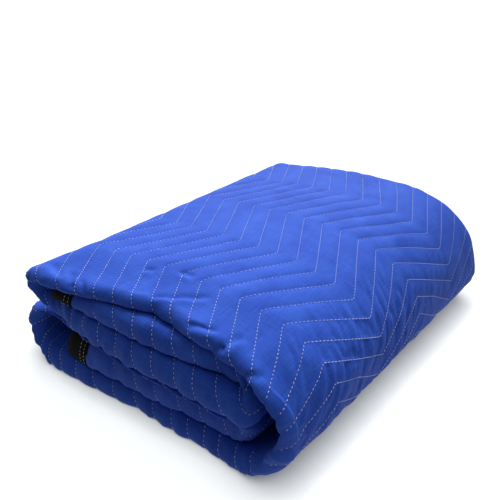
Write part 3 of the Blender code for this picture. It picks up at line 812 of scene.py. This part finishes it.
# The binding: black woven tape, 30 mm wide on each side, folded over the cut ends and the long cut
# edges and sewn down. The two end tapes follow all four plies. It is dense and dull, and looks nearly
# black beside the panel's back.
TAPE_OUT = HALF_PLY
TAPE_IN = HALF_PLY - 0.001
TAPE_GAP = 0.0003
TAPE_NOSE = TAPE_GAP + 0.001
END_STOPS = (BINDING_WIDTH - TAPE_GAP, 0.022, 0.015, 0.007)
EDGE_STOPS = (BINDING_WIDTH - TAPE_GAP, 0.02, 0.01)
END_TAPE_ROWS = (spaced(0.0, 1.0, 60) + spaced(1.0, 2.0, 16) + spaced(2.0, 3.0, 60) + spaced(3.0, 4.0, 8)
                 + spaced(4.0, 5.0, 30) + spaced(5.0, 6.0, 8) + spaced(6.0, 7.0, 30) + [7.0])
EDGE_TAPE_STEP = 0.005
PLY_WIDTH = 0.44


def tape_profile(stops):
    """The tape's section as (distance in from the cut edge, distance from the ply's middle)."""
    over = [(depth, TAPE_OUT) for depth in stops]
    over += [(-TAPE_NOSE * 0.6, TAPE_OUT * 0.85), (-TAPE_NOSE, TAPE_OUT * 0.35)]
    under = [(depth, TAPE_IN) for depth in stops] + [(-TAPE_GAP, TAPE_IN)]
    outside = over + [(depth, -offset) for depth, offset in reversed(over)]
    inside = [(depth, -offset) for depth, offset in under]
    return np.array(outside + inside + [(depth, offset) for depth, offset in reversed(under)])


def tube(name, rings, cloth):
    """Joins closed rings of points, with flat ends."""
    count = len(rings[0])
    faces = []
    for k in range(len(rings) - 1):
        for q in range(count):
            r = (q + 1) % count
            faces.append((k * count + q, k * count + r, (k + 1) * count + r, (k + 1) * count + q))
    base = (len(rings) - 1) * count
    for q in range(count // 2 - 1):
        a, b, c, d = q, q + 1, count - 2 - q, count - 1 - q
        faces += [(a, d, c, b), (base + a, base + b, base + c, base + d)]
    return make_mesh(name, np.concatenate(rings), faces, cloth=np.concatenate(cloth))


def end_tape(name, at_start):
    """Tape over a cut end, along every ply and fold from one long edge to the other."""
    depth, offset = tape_profile(END_STOPS).T
    u = depth if at_start else PANEL_LENGTH - depth
    rings = [place(u, np.full(len(u), key), offset) for key in END_TAPE_ROWS]
    cloth = [np.stack([depth, np.full(len(u), key * PLY_WIDTH)], axis=-1) for key in END_TAPE_ROWS]
    return tube(name, rings, cloth)


def edge_tape(name, row_at_edge):
    """Tape over a long cut edge at the back, round the whole coil between the two end tapes."""
    inward = 1 if row_at_edge == 0 else -1
    depth, offset = tape_profile(EDGE_STOPS).T
    row = row_at_edge + inward * np.maximum(depth, 0.0) / EDGE_Y
    rings, cloth = [], []
    for value in np.arange(BINDING_WIDTH, PANEL_LENGTH - BINDING_WIDTH, EDGE_TAPE_STEP):
        u = np.full(len(row), value)
        ring = place(u, row, offset)
        ring[:, 1] += np.maximum(-depth, 0.0)
        rings.append(ring)
        cloth.append(np.stack([depth, u], axis=-1))
    return tube(name, rings, cloth)


tapes = {
    "lower_end_binding": end_tape("lower_end_tape", True),
    "upper_end_binding": end_tape("upper_end_tape", False),
    "outer_edge_binding": edge_tape("outer_edge_tape", 0.0),
    "inner_edge_binding": edge_tape("inner_edge_tape", 7.0),
}
black_tape = woven_cloth("black_woven_tape", "#040505", "#0A0B0C", 0.95, 0.0)
for node, tape in tapes.items():
    tape.data.materials.append(black_tape)
    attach(tape, "root")
    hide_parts(node)


# The tape's stitches: two rows of cotton thread along its inner edge, through tape and panel. It is
# unbleached, and looks yellowish beside the white quilting thread.
TAPE_STITCHES = (0.020, 0.026)
ON_TAPE = 0.0001


def end_rows(at_start):
    """Both rows of stitches along an end tape, on its blue side."""
    rows = np.array(spaced(0.05, 1.0, 200) + spaced(1.0, 2.0, 60) + list(np.linspace(2.0, 2.99, 200)))
    found = []
    for depth in TAPE_STITCHES:
        u = np.full_like(rows, depth if at_start else PANEL_LENGTH - depth)
        centre = place(u, rows, np.full_like(rows, TAPE_OUT + ON_TAPE))
        upward = place(u, rows, np.full_like(rows, TAPE_OUT + ON_TAPE + 0.001)) - centre
        found.append(lay_stitches(centre, upward, np.ones_like(rows)))
    return found


tape_thread = make_mesh("tape_thread", *gather(end_rows(True) + end_rows(False)))
tape_thread.data.materials.append(spun_thread("pale_cotton_thread", "#B9B394", "#E4E0C8", 0.65))
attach(tape_thread, "root")


# The surface it lies on: white matt paper, large enough to run out of view. It glows evenly, and the glow is
# dimmed where the blanket stands over it: a painted shadow that keeps close round the blanket.
PAPER_SIZE = 14.0
SHADOW_REACH, SHADOW_DEPTH, SHADOW_SAMPLES = 0.034, 1.1, 12

bpy.ops.mesh.primitive_plane_add(size=PAPER_SIZE, location=(0.0, 0.0, 0.0))
floor = bpy.context.object
floor.name = "floor"
paper, tree, shader = new_material("white_matt_paper")
shader.inputs["Base Color"].default_value = linear("#696C70")
shader.inputs["Roughness"].default_value = 0.9
shader.inputs["Emission Color"].default_value = linear("#F8FBFD")
# The glow follows how open the sky is above each spot, which paints the contact shadow round the blanket.
open_sky = add(tree, "ShaderNodeAmbientOcclusion", {"samples": SHADOW_SAMPLES, "Distance": SHADOW_REACH})
glow = add(tree, "ShaderNodeMath", {"operation": "POWER", 1: SHADOW_DEPTH}, {0: open_sky.outputs["AO"]})
tree.links.new(glow.outputs[0], shader.inputs["Emission Strength"])
floor.data.materials.append(paper)
floor.visible_diffuse = False
floor.visible_shadow = False


# The light: a wide soft lamp above, behind and to the left, and a weak one behind and to the right. The
# room is bright overhead, dim at the sides and half bright below, as light comes back from the paper.
# To the eye it is plain white.
SIDE_LIGHT, TOP_LIGHT, PAPER_LIGHT = 0.03, 0.70, 0.46
BRIGHTEST_WAY = (0.0, 0.45, 0.9)
BRIGHT_FROM = 0.1
HORIZON_HALF = 0.03


def sun(name, energy, spread, towards):
    """A soft distant lamp that stands in the given direction."""
    light = bpy.data.lights.new(name, "SUN")
    light.energy = energy
    light.angle = math.radians(spread)
    lamp = bpy.data.objects.new(name, light)
    bpy.context.scene.collection.objects.link(lamp)
    lamp.rotation_euler = Vector(towards).to_track_quat("Z", "Y").to_euler()


sun("lamp_overhead", 5.3, 45, (-0.62, 0.95, 0.88))
sun("lamp_right", 0.45, 60, (0.7, 1.0, 0.45))
room = bpy.data.worlds.new("soft_room")
bpy.context.scene.world = room
room.use_nodes = True
tree = room.node_tree
way = add(tree, "ShaderNodeTexCoord").outputs["Generated"]
towards = add(tree, "ShaderNodeVectorMath", {"operation": "DOT_PRODUCT", 1: BRIGHTEST_WAY}, {0: way})
above = add(tree, "ShaderNodeMapRange",
            {"From Min": BRIGHT_FROM, "From Max": 1.0, "To Min": SIDE_LIGHT, "To Max": TOP_LIGHT},
            {"Value": towards.outputs["Value"]})
height = add(tree, "ShaderNodeSeparateXYZ", links={"Vector": way})
below = add(tree, "ShaderNodeMapRange",
            {"From Min": HORIZON_HALF, "From Max": -HORIZON_HALF, "To Min": 0.0, "To Max": PAPER_LIGHT},
            {"Value": height.outputs["Z"]})
both = add(tree, "ShaderNodeMath", {"operation": "MAXIMUM"},
           {0: above.outputs["Result"], 1: below.outputs["Result"]})
seen = add(tree, "ShaderNodeLightPath")
bright = add(tree, "ShaderNodeMath", {"operation": "MAXIMUM"},
             {0: both.outputs[0], 1: seen.outputs["Is Camera Ray"]})
background = tree.nodes["Background"]
tree.links.new(bright.outputs[0], background.inputs["Strength"])
background.inputs["Color"].default_value = (1.0, 1.0, 1.0, 1.0)
bpy.context.scene.view_settings.view_transform = "Standard"
